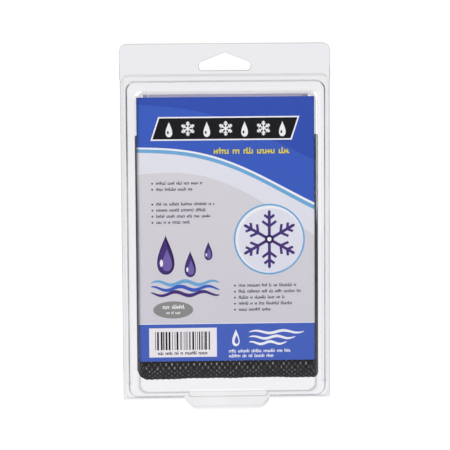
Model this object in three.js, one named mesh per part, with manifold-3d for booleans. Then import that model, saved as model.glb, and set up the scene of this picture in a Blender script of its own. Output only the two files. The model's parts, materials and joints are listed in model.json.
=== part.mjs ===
// A soft cooling wallet behind a printed card, in a hinged clear retail case that hangs on a peg.
// Lengths are millimetres. X runs to the right, Y to the back and Z up.
// The origin is the apex of the hang hole, on the plane where the case's two halves meet.
import * as THREE from 'three';
import { mergeVertices } from 'three/addons/utils/BufferGeometryUtils.js';
import Module from 'manifold-3d';

const wasm = await Module();
wasm.setup();

// Clearances and cutters
const fit = 0.3; // between pieces that touch
const overrun = 1; // how far a cutter passes the face that it cuts

// Printed card
const cardWidth = 101.6;
const cardHeight = 152.4;
const cardThickness = 0.35;
const cardDrop = 0.85; // from the pouch's top edge down to the card's
const cardShift = 0.5; // to the left of the case's middle

// Mesh cover
const coverWidth = 103.2;
const coverHeight = 140.4;
const coverThickness = 1.4;
const coverSeam = 3.8; // width of the sewn, turned edge
const coverHem = 7; // height of the mouth's hem
const coverCorner = 5; // bottom corners' radius

// Absorbent inner pouch
const pouchRise = 23.4; // above the cover's mouth
const pouchTravel = 22; // downwards, until the pouch sits in the cover
const pouchSeam = 3;
const pouchHem = 6;
const pouchCorner = 4;
const faceCloth = 0.6;
const coreThickness = 2.4;
const liningCloth = 0.5;
const pocketDepth = 4.6; // room between the linings with the pouch empty

// Clear sheet and its front blister
const sheet = 0.5;
const sideRoom = 0.2; // from the widest of the contents to the blister's face edge
const topRoom = 2.35;
const bottomRoom = 8;
const wallInset = 4.7; // from the blister's base line in to the edge of its face
const bottomInset = 3.1; // the same at the bottom, where the wall is steeper
const shoulder = 2.8; // radius between wall and face
const baseCorner = 5;
const faceCorner = 4.6;

// Rim round the blister, with the ridge of the back half inside it
const rimDepth = 7; // from the seam plane forwards
const sideLedge = 2.6;
const topLedge = 3.65;
const bottomLedge = 1.6;
const rimCorner = 4;
const rimDraft = 0.4; // how much the rim narrows towards its crest
const ridgeWidth = 3.2;
const ridgeEnd = 7; // from the blister's bottom base line up to the ridge's lower ends
const ridgeInnerCorner = 1;

// Flange, hang tab and hang hole
const sideFlange = 0.6;
const tabStep = 0.3; // how far the tab stands out past the body on each side
const tabStepDrop = 15.6; // from the hole's apex
const tabRise = 5; // above the hole's apex
const tabCorner = 4.4;
const rimDrop = 12.4; // from the hole's apex down to the rim
const holeWidth = 30;
const holeHeight = 10.6;
const holeShoulderDrop = 5.9; // from the apex down to where the slopes end
const holeCorner = 2;

// Living hinge
const hingeRadius = 0.4;
const hingeLand = 0.3; // flange below the rim's skirt

// Foot at the bottom of the front half, measured on its front face
const footWidth = 49.2;
const footKneeWidth = 47.6;
const footTipWidth = 39;
const footKneeRise = 1.2; // above the hinge line
const footDrop = 3.6; // below the hinge line
const footDraft = 1.2; // how much larger the foot is at the seam plane
const notchRoom = 0.5; // round the foot when the case lies open

// How finely round forms are stepped
const cornerSteps = 5;
const shoulderSteps = 4;
const hingeSides = 8;
const bulgeSteps = 8;
const weld = 1e-4;

// Depths, stacked forwards from the seam plane
const seam = fit / 2; // from the seam plane to each half
const pouchLayers = faceCloth + fit + coreThickness + fit + liningCloth;
const pouchDepth = 2 * pouchLayers + pocketDepth;
const coverDepth = pouchDepth + 2 * (coverThickness + fit);
const coverBack = fit - seam;
const cardBack = coverBack + coverDepth + fit;
const faceInside = cardBack + cardThickness + fit;
const faceOutside = faceInside + sheet;
const rimOutside = seam + rimDepth;

// Widths, from the contents outwards
const contentHalf = Math.max(cardWidth / 2 + cardShift, coverWidth / 2);
const faceHalf = contentHalf + sideRoom + sheet;
const baseHalf = faceHalf + wallInset;
const crestHalf = baseHalf + sideLedge;
const rimHalf = crestHalf + rimDraft;
const bodyHalf = rimHalf + sideFlange;
const tabHalf = bodyHalf + tabStep;

// Heights, from the hang hole down
const rimTop = -rimDrop;
const crestTop = rimTop - rimDraft;
const baseTop = crestTop - topLedge;
const faceTop = baseTop - wallInset;
const pouchTop = faceTop - sheet - topRoom;
const coverTop = pouchTop - pouchRise;
const coverBottom = coverTop - coverHeight;
const cardTop = pouchTop - cardDrop;
const cardBottom = cardTop - cardHeight;
const faceBottom = Math.min(coverBottom, cardBottom) - bottomRoom - sheet;
const baseBottom = faceBottom - bottomInset;
const crestBottom = baseBottom - bottomLedge;
const rimBottom = crestBottom - rimDraft;
const flangeBottom = rimBottom - hingeLand;
const hingeHeight = flangeBottom - hingeRadius - fit;

// The blister's outline at its base line
const baseLine = { half: baseHalf, top: baseTop, bottom: baseBottom, corner: baseCorner };

// The pouch inside the cover
const pouchWidth = coverWidth - 2 * (coverSeam + fit);
const pouchBottom = coverBottom + coverSeam + fit + pouchTravel;
const pouchHeight = pouchTop - pouchBottom;

// A closed geometry as a solid that can be cut and joined
function solid(geometry) {
  const bare = geometry.clone();
  bare.deleteAttribute('normal');
  bare.deleteAttribute('uv');
  const merged = mergeVertices(bare, weld);
  return new wasm.Manifold(new wasm.Mesh({
    numProp: 3,
    vertProperties: new Float32Array(merged.attributes.position.array),
    triVerts: new Uint32Array(merged.index.array),
  }));
}

// The geometry of a solid
function geometryOf(body) {
  const mesh = body.getMesh();
  const geometry = new THREE.BufferGeometry();
  geometry.setAttribute('position', new THREE.BufferAttribute(mesh.vertProperties, 3));
  geometry.setIndex(new THREE.BufferAttribute(mesh.triVerts, 1));
  const faceted = geometry.toNonIndexed();
  faceted.computeVertexNormals();
  return faceted;
}

// An outline in X and Z, extruded from y = back towards the front
function slab(shape, back, thickness) {
  const geometry = new THREE.ExtrudeGeometry(shape, {
    depth: thickness,
    bevelEnabled: false,
    curveSegments: cornerSteps,
  });
  return geometry.rotateX(Math.PI / 2).translate(0, back, 0);
}

// A box between two corners
function block(low, high) {
  const size = high.map((value, axis) => value - low[axis]);
  const middle = high.map((value, axis) => (value + low[axis]) / 2);
  return new THREE.BoxGeometry(...size).translate(...middle);
}

// The points of a rounded rectangle in X and Z, anticlockwise as seen from the front
function roundedRectangle({ half, top, bottom, corner }) {
  const centres = [
    [half - corner, top - corner],
    [corner - half, top - corner],
    [corner - half, bottom + corner],
    [half - corner, bottom + corner],
  ];
  return centres.flatMap(([x, z], quarter) => (
    Array.from({ length: cornerSteps + 1 }, (_, step) => {
      const angle = (quarter + step / cornerSteps) * Math.PI / 2;
      return [x + corner * Math.cos(angle), z + corner * Math.sin(angle)];
    })
  ));
}

// A rounded rectangle drawn in on every side
function drawnIn(outline, inset, corner) {
  return {
    half: outline.half - inset,
    top: outline.top - inset,
    bottom: outline.bottom + inset,
    corner,
  };
}

// A closed skin through rings of points that are listed from the back to the front
function skin(rings) {
  const count = rings[0].length;
  const index = [];
  for (let front = count; front < rings.length * count; front += count) {
    const back = front - count;
    for (let point = 0; point < count; point += 1) {
      const next = (point + 1) % count;
      index.push(front + point, back + point, back + next);
      index.push(front + point, back + next, front + next);
    }
  }
  const last = (rings.length - 1) * count;
  for (let point = 1; point < count - 1; point += 1) {
    index.push(0, point + 1, point);
    index.push(last, last + point, last + point + 1);
  }
  const geometry = new THREE.BufferGeometry();
  geometry.setAttribute('position', new THREE.Float32BufferAttribute(rings.flat(2), 3));
  geometry.setIndex(index);
  return geometry;
}

// A solid through rounded rectangles, each at its own y
function loft(levels) {
  return skin(levels.map((level) => roundedRectangle(level).map(([x, z]) => [x, level.y, z])));
}

// The outline of one half: the hang tab above and the body down to the hinge
function halfOutline() {
  const shape = new THREE.Shape();
  const quarter = Math.PI / 2;
  shape.moveTo(-bodyHalf, flangeBottom);
  shape.lineTo(bodyHalf, flangeBottom);
  shape.lineTo(bodyHalf, -tabStepDrop - tabStep);
  shape.lineTo(tabHalf, -tabStepDrop);
  shape.absarc(tabHalf - tabCorner, tabRise - tabCorner, tabCorner, 0, quarter);
  shape.absarc(tabCorner - tabHalf, tabRise - tabCorner, tabCorner, quarter, 2 * quarter);
  shape.lineTo(-tabHalf, -tabStepDrop);
  shape.lineTo(-bodyHalf, -tabStepDrop - tabStep);
  shape.closePath();
  return shape;
}

// The hang hole: a flat bottom with round corners under two slopes that meet at the apex
function hangHole() {
  const half = holeWidth / 2;
  const quarter = Math.PI / 2;
  const shape = new THREE.Shape();
  shape.moveTo(0, 0);
  shape.lineTo(-half, -holeShoulderDrop);
  shape.absarc(holeCorner - half, holeCorner - holeHeight, holeCorner, 2 * quarter, 3 * quarter);
  shape.absarc(half - holeCorner, holeCorner - holeHeight, holeCorner, 3 * quarter, 4 * quarter);
  shape.lineTo(half, -holeShoulderDrop);
  shape.closePath();
  return slab(shape, seam + sheet + overrun, 2 * (seam + sheet + overrun));
}

// The levels of the front half's raised form, from the seam plane to the face
function blisterLevels() {
  const rim = { half: rimHalf, top: rimTop, bottom: rimBottom, corner: rimCorner };
  const crest = { half: crestHalf, top: crestTop, bottom: crestBottom, corner: rimCorner };
  const levels = [
    { ...rim, y: -seam },
    { ...crest, y: -rimOutside },
    { ...baseLine, y: -rimOutside },
  ];
  for (let step = 0; step <= shoulderSteps; step += 1) {
    const angle = (step / shoulderSteps) * Math.PI / 2;
    const inset = wallInset - shoulder * Math.cos(angle);
    const corner = THREE.MathUtils.lerp(baseCorner, faceCorner, inset / wallInset);
    const bottom = baseBottom + (inset / wallInset) * bottomInset;
    const y = shoulder * (1 - Math.sin(angle)) - faceOutside;
    levels.push({ ...drawnIn(baseLine, inset, corner), bottom, y });
  }
  return levels;
}

// The space behind those levels, run out past the seam plane
function blisterHollow() {
  const levels = blisterLevels().map((level) => ({
    ...drawnIn(level, sheet, level.corner - sheet),
    y: level.y + sheet,
  }));
  return loft([{ ...levels[0], y: overrun }, ...levels]);
}

// The foot's outline in X and Z, grown on every side but its root in the blister
function footOutline(grow) {
  const root = faceBottom + shoulder;
  const knee = hingeHeight + footKneeRise - grow;
  const tip = hingeHeight - footDrop - grow;
  const [top, middle, bottom] = [footWidth, footKneeWidth, footTipWidth].map((width) => width / 2 + grow);
  return [
    [bottom, tip],
    [middle, knee],
    [top, faceBottom],
    [top, root],
    [-top, root],
    [-top, faceBottom],
    [-middle, knee],
    [-bottom, tip],
  ];
}

// The foot, or its hollow when inset is the sheet's thickness and it runs out to y = back
function foot(inset, back) {
  const slope = footDraft / (faceOutside - seam);
  const front = inset - faceOutside;
  const ring = (y) => footOutline(slope * (faceOutside + y) - inset).map(([x, z]) => [x, y, z]);
  return skin([ring(back), ring(front)]);
}

// The front half: tab layer, rim, blister and foot, all from one sheet
function frontShell() {
  return solid(slab(halfOutline(), -seam, sheet))
    .add(solid(loft(blisterLevels())))
    .add(solid(foot(0, -seam)))
    .subtract(solid(blisterHollow()))
    .subtract(solid(foot(sheet, overrun)))
    .subtract(solid(hangHole()));
}

// The ridge that the rim grips, or the groove behind it when inset is the sheet's thickness
function ridge(inset) {
  const gap = sheet + fit;
  const crestY = gap - rimOutside + inset;
  const backY = seam + sheet + (inset > 0 ? overrun : 0);
  const outer = {
    half: crestHalf - gap - inset,
    top: crestTop - gap - inset,
    bottom: rimBottom,
    corner: rimCorner - gap - inset,
  };
  const inner = {
    half: crestHalf - gap - ridgeWidth + inset,
    top: crestTop - gap - ridgeWidth + inset,
    bottom: rimBottom - overrun,
    corner: ridgeInnerCorner + inset,
  };
  const end = baseBottom + ridgeEnd + inset;
  const below = block([-tabHalf, crestY - overrun, inner.bottom - overrun], [tabHalf, backY + overrun, end]);
  return solid(loft([{ ...drawnIn(outer, -rimDraft, outer.corner), y: backY }, { ...outer, y: crestY }]))
    .subtract(solid(loft([{ ...inner, y: backY + overrun }, { ...inner, y: crestY - overrun }])))
    .subtract(solid(below));
}

// The opening in the back half that the foot swings into as the case opens flat
function footNotch() {
  const outline = footOutline(footDraft + notchRoom);
  const mirrored = outline.map(([x, z]) => new THREE.Vector2(x, 2 * hingeHeight - z));
  return slab(new THREE.Shape(mirrored), seam + sheet + overrun, sheet + 2 * overrun);
}

// The back half: tab layer and flat back, with the ridge pressed forwards from the same sheet
function backShell() {
  return solid(slab(halfOutline(), seam + sheet, sheet))
    .add(ridge(0))
    .subtract(ridge(sheet))
    .subtract(solid(hangHole()))
    .subtract(solid(footNotch()));
}

// A sewn bag's section in X and Y: flat in front and behind, with edges that round off
function bagSection(width, depth, edge) {
  const middle = -depth / 2;
  const flat = width / 2 - edge;
  const quarter = Math.PI / 2;
  const shape = new THREE.Shape();
  shape.moveTo(flat, -depth);
  shape.absellipse(flat, middle, edge, depth / 2, -quarter, quarter);
  shape.lineTo(-flat, 0);
  shape.absellipse(-flat, middle, edge, depth / 2, quarter, 3 * quarter);
  shape.closePath();
  return shape;
}

// A shape in X and Y, extruded upwards from z = low
function upright(shape, low, high) {
  return new THREE.ExtrudeGeometry(shape, {
    depth: high - low,
    bevelEnabled: false,
    curveSegments: bulgeSteps,
  }).translate(0, 0, low);
}

// A bag's outline in X and Z with its bottom corners rounded
function bagOutline(width, height, corner) {
  const half = width / 2;
  const quarter = Math.PI / 2;
  const shape = new THREE.Shape();
  shape.moveTo(half, height);
  shape.lineTo(-half, height);
  shape.absarc(corner - half, corner, corner, 2 * quarter, 3 * quarter);
  shape.absarc(half - corner, corner, corner, 3 * quarter, 4 * quarter);
  shape.closePath();
  return shape;
}

// The sewn edge along a bag's bottom, rounded like its sides
function bottomSeam({ width, depth, seamWidth, corner }) {
  const roll = upright(bagSection(2 * seamWidth, depth, seamWidth), 0, width)
    .rotateY(Math.PI / 2)
    .translate(-width / 2, 0, seamWidth);
  const top = block([-width, -depth - overrun, seamWidth], [width, overrun, 2 * seamWidth + overrun]);
  return solid(roll)
    .intersect(solid(upright(bagSection(width, depth, seamWidth), -overrun, seamWidth + overrun)))
    .intersect(solid(slab(bagOutline(width, width, corner), overrun, depth + 2 * overrun)))
    .subtract(solid(top));
}

// The sewn edge up one side of a bag: side is 1 on the right and -1 on the left
function sideSeam({ width, height, depth, seamWidth }, side) {
  const inner = width / 2 - seamWidth;
  const low = seamWidth + fit;
  const section = upright(bagSection(width, depth, seamWidth), low, height);
  const edges = [side * inner, side * (width / 2 + overrun)].sort((a, b) => a - b);
  const reach = block([edges[0], -depth - overrun, low - overrun], [edges[1], overrun, height + overrun]);
  return solid(section).intersect(solid(reach));
}

// One named piece
function piece(name, geometry, material, position = [0, 0, 0]) {
  const mesh = new THREE.Mesh(geometry, material);
  mesh.name = name;
  mesh.position.set(...position);
  return mesh;
}

// A bag with its back at y = 0 and its bottom at z = 0; layers run from its outside in
function bag(spec) {
  const { name, width, height, depth, seamWidth, hem, layers, edgeMaterial } = spec;
  const group = new THREE.Group();
  const panelWidth = width - 2 * (seamWidth + fit);
  const low = seamWidth + fit;
  const panelHeight = height - hem - fit - low;
  const wall = layers.reduce((sum, layer) => sum + layer.thickness + fit, -fit);
  const faces = [['front', -depth, 1], ['back', 0, -1]];
  faces.forEach(([side, outside, inwards]) => {
    let y = outside;
    layers.forEach((layer) => {
      const sheetGeometry = new THREE.BoxGeometry(panelWidth, layer.thickness, panelHeight);
      const middle = [0, y + inwards * layer.thickness / 2, low + panelHeight / 2];
      group.add(piece(`${name}_${side}_${layer.name}`, sheetGeometry, layer.material, middle));
      y += inwards * (layer.thickness + fit);
    });
    const hemGeometry = new THREE.BoxGeometry(panelWidth, wall, hem);
    const hemMiddle = [0, outside + inwards * wall / 2, height - hem / 2];
    group.add(piece(`${name}_${side}_hem`, hemGeometry, edgeMaterial, hemMiddle));
  });
  group.add(piece(`${name}_left_seam`, geometryOf(sideSeam(spec, -1)), edgeMaterial));
  group.add(piece(`${name}_right_seam`, geometryOf(sideSeam(spec, 1)), edgeMaterial));
  group.add(piece(`${name}_bottom_seam`, geometryOf(bottomSeam(spec)), edgeMaterial));
  return group;
}

// A bead of the living hinge between two places along X
function hingeBead(from, to) {
  return new THREE.CylinderGeometry(hingeRadius, hingeRadius, to - from, hingeSides)
    .rotateZ(Math.PI / 2)
    .translate((from + to) / 2, 0, 0);
}

const clearSheet = new THREE.MeshStandardMaterial({
  color: 0xeef1f5,
  roughness: 0.08,
  metalness: 0,
  transparent: true,
  opacity: 0.3,
});
const printedBoard = new THREE.MeshStandardMaterial({ color: 0x8f9bd0, roughness: 0.35, metalness: 0 });
const meshKnit = new THREE.MeshStandardMaterial({ color: 0x24262b, roughness: 0.9, metalness: 0 });
const meshBinding = new THREE.MeshStandardMaterial({ color: 0x1b1c21, roughness: 0.8, metalness: 0 });
const pouchCloth = new THREE.MeshStandardMaterial({ color: 0x5d5c86, roughness: 0.85, metalness: 0 });
const pouchBinding = new THREE.MeshStandardMaterial({ color: 0x4c4b78, roughness: 0.8, metalness: 0 });
const absorbentCore = new THREE.MeshStandardMaterial({ color: 0xe9e8e2, roughness: 1, metalness: 0 });

const cover = bag({
  name: 'cover',
  width: coverWidth,
  height: coverHeight,
  depth: coverDepth,
  seamWidth: coverSeam,
  hem: coverHem,
  corner: coverCorner,
  layers: [{ name: 'panel', thickness: coverThickness, material: meshKnit }],
  edgeMaterial: meshBinding,
});

const pouch = bag({
  name: 'pouch',
  width: pouchWidth,
  height: pouchHeight,
  depth: pouchDepth,
  seamWidth: pouchSeam,
  hem: pouchHem,
  corner: pouchCorner,
  layers: [
    { name: 'face', thickness: faceCloth, material: pouchCloth },
    { name: 'core', thickness: coreThickness, material: absorbentCore },
    { name: 'lining', thickness: liningCloth, material: pouchCloth },
  ],
  edgeMaterial: pouchBinding,
});
pouch.position.set(0, -coverThickness - fit, coverSeam + fit + pouchTravel);

const wallet = new THREE.Group();
wallet.add(cover, pouch);
wallet.position.set(0, -coverBack, coverBottom);

const cardGeometry = new THREE.BoxGeometry(cardWidth, cardThickness, cardHeight);
const cardPlace = [-cardShift, -cardBack - cardThickness / 2, (cardTop + cardBottom) / 2];
const card = piece('printed_card', cardGeometry, printedBoard, cardPlace);

const hinge = new THREE.Group();
const hingeStart = footKneeWidth / 2 + footDraft + fit;
hinge.add(piece('hinge_left', hingeBead(-bodyHalf, -hingeStart), clearSheet));
hinge.add(piece('hinge_right', hingeBead(hingeStart, bodyHalf), clearSheet));
hinge.position.set(0, 0, hingeHeight);

const coolingCase = new THREE.Group();
coolingCase.add(
  piece('front_shell', geometryOf(frontShell()), clearSheet),
  piece('back_shell', geometryOf(backShell()), clearSheet),
  hinge,
  card,
  wallet,
);

export default coolingCase;
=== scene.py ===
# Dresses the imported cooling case: clear hinged shells, a printed card, a mesh cover and its inner pouch.
# Shapes are made in millimetres and scaled to metres at the end of each piece.
import cmath
import json
import math
import random

import bmesh
import bpy
import numpy as np
from mathutils import Matrix, Vector
from mathutils.geometry import delaunay_2d_cdt


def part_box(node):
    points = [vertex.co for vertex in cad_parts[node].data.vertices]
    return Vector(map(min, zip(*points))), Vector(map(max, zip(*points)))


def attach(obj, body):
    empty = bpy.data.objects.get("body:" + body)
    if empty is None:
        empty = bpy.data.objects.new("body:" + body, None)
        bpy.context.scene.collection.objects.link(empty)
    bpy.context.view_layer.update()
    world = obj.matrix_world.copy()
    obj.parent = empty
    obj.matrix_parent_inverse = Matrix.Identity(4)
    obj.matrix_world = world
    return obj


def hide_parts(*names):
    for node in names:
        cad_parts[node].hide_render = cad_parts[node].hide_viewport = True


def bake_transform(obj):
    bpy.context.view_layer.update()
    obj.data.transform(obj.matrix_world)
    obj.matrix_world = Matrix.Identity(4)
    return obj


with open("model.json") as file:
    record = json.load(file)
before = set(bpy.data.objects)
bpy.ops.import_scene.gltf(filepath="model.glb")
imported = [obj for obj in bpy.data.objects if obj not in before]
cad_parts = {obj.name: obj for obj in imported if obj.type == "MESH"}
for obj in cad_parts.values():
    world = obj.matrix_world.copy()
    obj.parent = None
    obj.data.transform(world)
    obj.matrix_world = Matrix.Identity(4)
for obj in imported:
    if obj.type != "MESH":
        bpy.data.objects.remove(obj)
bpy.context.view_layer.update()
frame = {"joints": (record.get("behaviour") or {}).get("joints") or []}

MM = 0.001


def corners_of(node):
    """The lowest and highest corner of a CAD node, in millimetres."""
    low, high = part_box(node)
    return low / MM, high / MM


# Clear sheet, as in the CAD source
SHEET = 0.5
SIDE_ROOM = 0.2
TOP_ROOM = 2.35
BOTTOM_ROOM = 8
WALL_INSET = 4.7
BOTTOM_INSET = 3.1
BASE_CORNER = 5
FACE_CORNER = 4.6
RIM_DEPTH = 7
SIDE_LEDGE = 2.6
TOP_LEDGE = 3.65
BOTTOM_LEDGE = 1.6
RIM_CORNER = 4
RIM_DRAFT = 0.4
RIDGE_WIDTH = 3.2
RIDGE_END = 7
RIDGE_INNER_CORNER = 1
SIDE_FLANGE = 0.6
TAB_STEP = 0.3
TAB_STEP_DROP = 15.6
TAB_CORNER = 4.4
HOLE_HALF = 15
HOLE_HEIGHT = 10.6
HOLE_SHOULDER_DROP = 5.9
HOLE_CORNER = 2
HOLE_APEX_RADIUS = 1.2
HINGE_RADIUS = 0.4
HINGE_LAND = 0.3
FOOT_HALF = 24.6
FOOT_KNEE_HALF = 23.8
FOOT_TIP_HALF = 19.5
FOOT_KNEE_RISE = 1.2
FOOT_DROP = 3.6
FOOT_DRAFT = 1.2
NOTCH_ROOM = 0.5
FIT = 0.3
OVERRUN = 1

# Roundings that only the fine surface has
RIM_ROUND = 0.9
BASE_ROUND = 0.6
WALL_BEND_DEPTH = 9.7
WALL_BEND_INSET = 0.17
WALL_BEND_ROUND = 9
SHOULDER_ROUND = 2.8
FACE_STEP = 2.4
FOOT_ROUND = 1.6
FOOT_SETBACK = 0.8
FOOT_CORNER = 1.6
FOOT_FACE_HALF = 23
FOOT_FACE_DROP = 2
FOOT_FACE_ROUND = 0.6
RIDGE_ROUND = 0.8
CUT_BEVEL = 0.2

# How finely the meshes are made and shaded
CORNER_STEPS = 14
ROUND_STEPS = 6
ROUND_ANGLES = [math.pi / 2 * step / ROUND_STEPS for step in range(ROUND_STEPS + 1)]
SUPPORT = 0.6
HAIR = 0.02
SHARP_ANGLE = 40
CLOTH_ANGLE = 80

# Places, worked out from the frame as the CAD source does
front_low, front_high = corners_of("front_shell")
cover_low, cover_high = corners_of("cover_bottom_seam")
pouch_high = corners_of("pouch_front_hem")[1]
CARD_LOW, CARD_HIGH = corners_of("printed_card")
HINGE_Z = frame["joints"][0]["pos_m"][2] / MM
SEAM = -front_high.y
FACE_OUT = -front_low.y
RIM_OUT = SEAM + RIM_DEPTH
FACE_HALF = cover_high.x + SIDE_ROOM + SHEET
BASE_HALF = FACE_HALF + WALL_INSET
CREST_HALF = BASE_HALF + SIDE_LEDGE
RIM_HALF = CREST_HALF + RIM_DRAFT
BODY_HALF = RIM_HALF + SIDE_FLANGE
TAB_HALF = BODY_HALF + TAB_STEP
TAB_TOP = front_high.z
FACE_TOP = pouch_high.z + TOP_ROOM + SHEET
BASE_TOP = FACE_TOP + WALL_INSET
CREST_TOP = BASE_TOP + TOP_LEDGE
RIM_TOP = CREST_TOP + RIM_DRAFT
FACE_BOTTOM = cover_low.z - BOTTOM_ROOM - SHEET
BASE_BOTTOM = FACE_BOTTOM - BOTTOM_INSET
CREST_BOTTOM = BASE_BOTTOM - BOTTOM_LEDGE
RIM_BOTTOM = CREST_BOTTOM - RIM_DRAFT
FLANGE_BOTTOM = RIM_BOTTOM - HINGE_LAND
FOOT_TIP = HINGE_Z - FOOT_DROP


# Materials


def add_node(tree, kind, inputs=(), **settings):
    """A new node in a tree, with settings on it and values or links on its inputs."""
    made = tree.nodes.new(kind)
    for key, value in settings.items():
        setattr(made, key, value)
    for key, value in dict(inputs).items():
        if isinstance(value, bpy.types.NodeSocket):
            tree.links.new(value, made.inputs[key])
        else:
            made.inputs[key].default_value = value
    return made


class Shader:
    """A node material that is put together from short calls."""

    def __init__(self, name):
        self.material = bpy.data.materials.new(name)
        self.material.use_nodes = True
        self.tree = self.material.node_tree
        self.tree.nodes.clear()
        self.output = self.node("ShaderNodeOutputMaterial")

    def node(self, kind, inputs=(), **settings):
        """A new node in the material."""
        return add_node(self.tree, kind, inputs, **settings)

    def math(self, operation, *values):
        """A math node's result."""
        return self.node("ShaderNodeMath", dict(enumerate(values)), operation=operation).outputs[0]

    def axes(self):
        """The object's own X, Y and Z, in metres."""
        where = self.node("ShaderNodeTexCoord").outputs["Object"]
        return self.node("ShaderNodeSeparateXYZ", {0: where}).outputs

    def noise(self, scale, detail=3.0, stretch=None):
        """A noise value over the object, finer with a greater scale."""
        where = self.node("ShaderNodeTexCoord").outputs["Object"]
        if stretch:
            where = self.node("ShaderNodeMapping", {"Vector": where, "Scale": stretch}).outputs[0]
        made = self.node("ShaderNodeTexNoise", {"Vector": where, "Scale": scale, "Detail": detail})
        return made.outputs[0]

    def between(self, value, low, high, start=0.0, end=1.0, kind="LINEAR"):
        """A value that runs from start to end, as a value from low to high."""
        inputs = {"Value": value, "From Min": start, "From Max": end, "To Min": low, "To Max": high}
        return self.node("ShaderNodeMapRange", inputs, interpolation_type=kind).outputs[0]

    def along(self, value, stops):
        """A value that runs in straight lines through (place, level) stops, in rising order."""
        level = stops[0][1]
        for (start, before), (end, after) in zip(stops, stops[1:]):
            level = self.math("ADD", level, self.between(value, 0.0, after - before, start, end))
        return level

    def blend(self, share, first, second):
        """A mix of two colours."""
        return self.node("ShaderNodeMix", {0: share, 6: first, 7: second}, data_type="RGBA").outputs[2]

    def bump(self, height, depth, strength=1.0, normal=None):
        """A bumped normal from heights of 0 to 1 that are depth metres apart."""
        inputs = {"Height": height, "Distance": depth, "Strength": strength}
        if normal:
            inputs["Normal"] = normal
        return self.node("ShaderNodeBump", inputs).outputs[0]

    def stitches(self, across, along, half_width, pitch):
        """A row of sewing stitches where across is 0, as 1 on the thread and 0 beside it."""
        line = self.math("SUBTRACT", 1.0, self.math("ABSOLUTE", self.math("DIVIDE", across, half_width)))
        beat = self.math("COSINE", self.math("MULTIPLY", along, 2 * math.pi / pitch))
        return self.math("MULTIPLY", self.between(line, 0.0, 1.0), self.between(beat, 0.0, 1.0, -0.5, -0.1))

    def finish(self, shader):
        """Sends a shader to the output and returns the material."""
        self.tree.links.new(shader, self.output.inputs["Surface"])
        return self.material

    def surface(self, inputs):
        """Ends in a Principled shader with these inputs."""
        return self.finish(self.node("ShaderNodeBsdfPrincipled", inputs).outputs[0])


def srgb(red, green, blue):
    """A colour of 0 to 255 as it looks on screen, as the linear colour that a shader takes."""
    shares = (red / 255, green / 255, blue / 255)
    linear = [c / 12.92 if c <= 0.04045 else ((c + 0.055) / 1.055) ** 2.4 for c in shares]
    return (*linear, 1.0)


CLEAR_TINT = (0.968, 0.967, 0.975)
EDGE_START = 0.84
GLOSS = (0.015, 0.03)


def clear_sheet(name, edge, levels=(), edge_start=EDGE_START, gloss=GLOSS):
    """Thin clear sheet that passes edge of the light where it is seen edge on: partly for its longer path
    through the sheet, partly as painted shade for the dark lines that its bends show.

    Levels are heights with the share of the light passed there, as painted shade: darker bands that
    stand in for the dark lines at the bends. Gloss is what it mirrors face on and edge on."""
    s = Shader(name)
    facing = s.node("ShaderNodeLayerWeight", {"Blend": 0.5}).outputs["Facing"]
    passes = s.between(facing, 1.0, edge, edge_start, 1.0, "SMOOTHSTEP")
    if levels:
        # painted shade: the light passed drops in bands at the given heights
        loss = s.math("SUBTRACT", 1.0, s.along(s.axes()[2], [(z * MM, share) for z, share in levels]))
        uneven = s.between(s.noise(30, 2.0), 0.75, 1.25, 0.3, 0.7)
        passes = s.math("MULTIPLY", passes, s.math("SUBTRACT", 1.0, s.math("MULTIPLY", loss, uneven)))
    channels = {index: s.math("MULTIPLY", passes, value) for index, value in enumerate(CLEAR_TINT)}
    tint = s.node("ShaderNodeCombineColor", channels)
    through = s.node("ShaderNodeBsdfTransparent", {"Color": tint.outputs[0]})
    waves = s.bump(s.noise(38, 1.0), 0.0006, 0.35)
    mirror = s.node("ShaderNodeBsdfGlossy", {"Color": (1, 1, 1, 1), "Roughness": 0.06, "Normal": waves})
    share = s.between(facing, *gloss, 0.5, 1.0, "SMOOTHSTEP")
    mixed = s.node("ShaderNodeMixShader", {0: share, 1: through.outputs[0], 2: mirror.outputs[0]})
    return s.finish(mixed.outputs[0])


KNIT_PITCH = 3.25
KNIT_ROW = 2.3
KNIT_DRIFT = 0.0009
# Painted light from below: near the cover's bottom edge the knit is blended a little towards its light
# colour.
PAINTED_LIGHT_FROM_BELOW = [((cover_low.z + rise) * MM, share) for rise, share in ((0, 0.1), (3, 0.02), (7, 0), (200, 0))]
COVER_MIDDLE = (cover_low.y + cover_high.y) / 2 * MM
COVER_HALF_DEPTH = (cover_high.y - cover_low.y) / 2 * MM
SIDE, BOTTOM = "side", "bottom"

# Half widths and stitch pitches of the sewing thread, in metres
HEM_THREAD = (0.00032, 0.0028)
SEAM_THREAD = (0.0003, 0.0028)
POUCH_THREAD = (0.00025, 0.0024)
SEAM_THREAD_OFF = 0.0014


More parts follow.
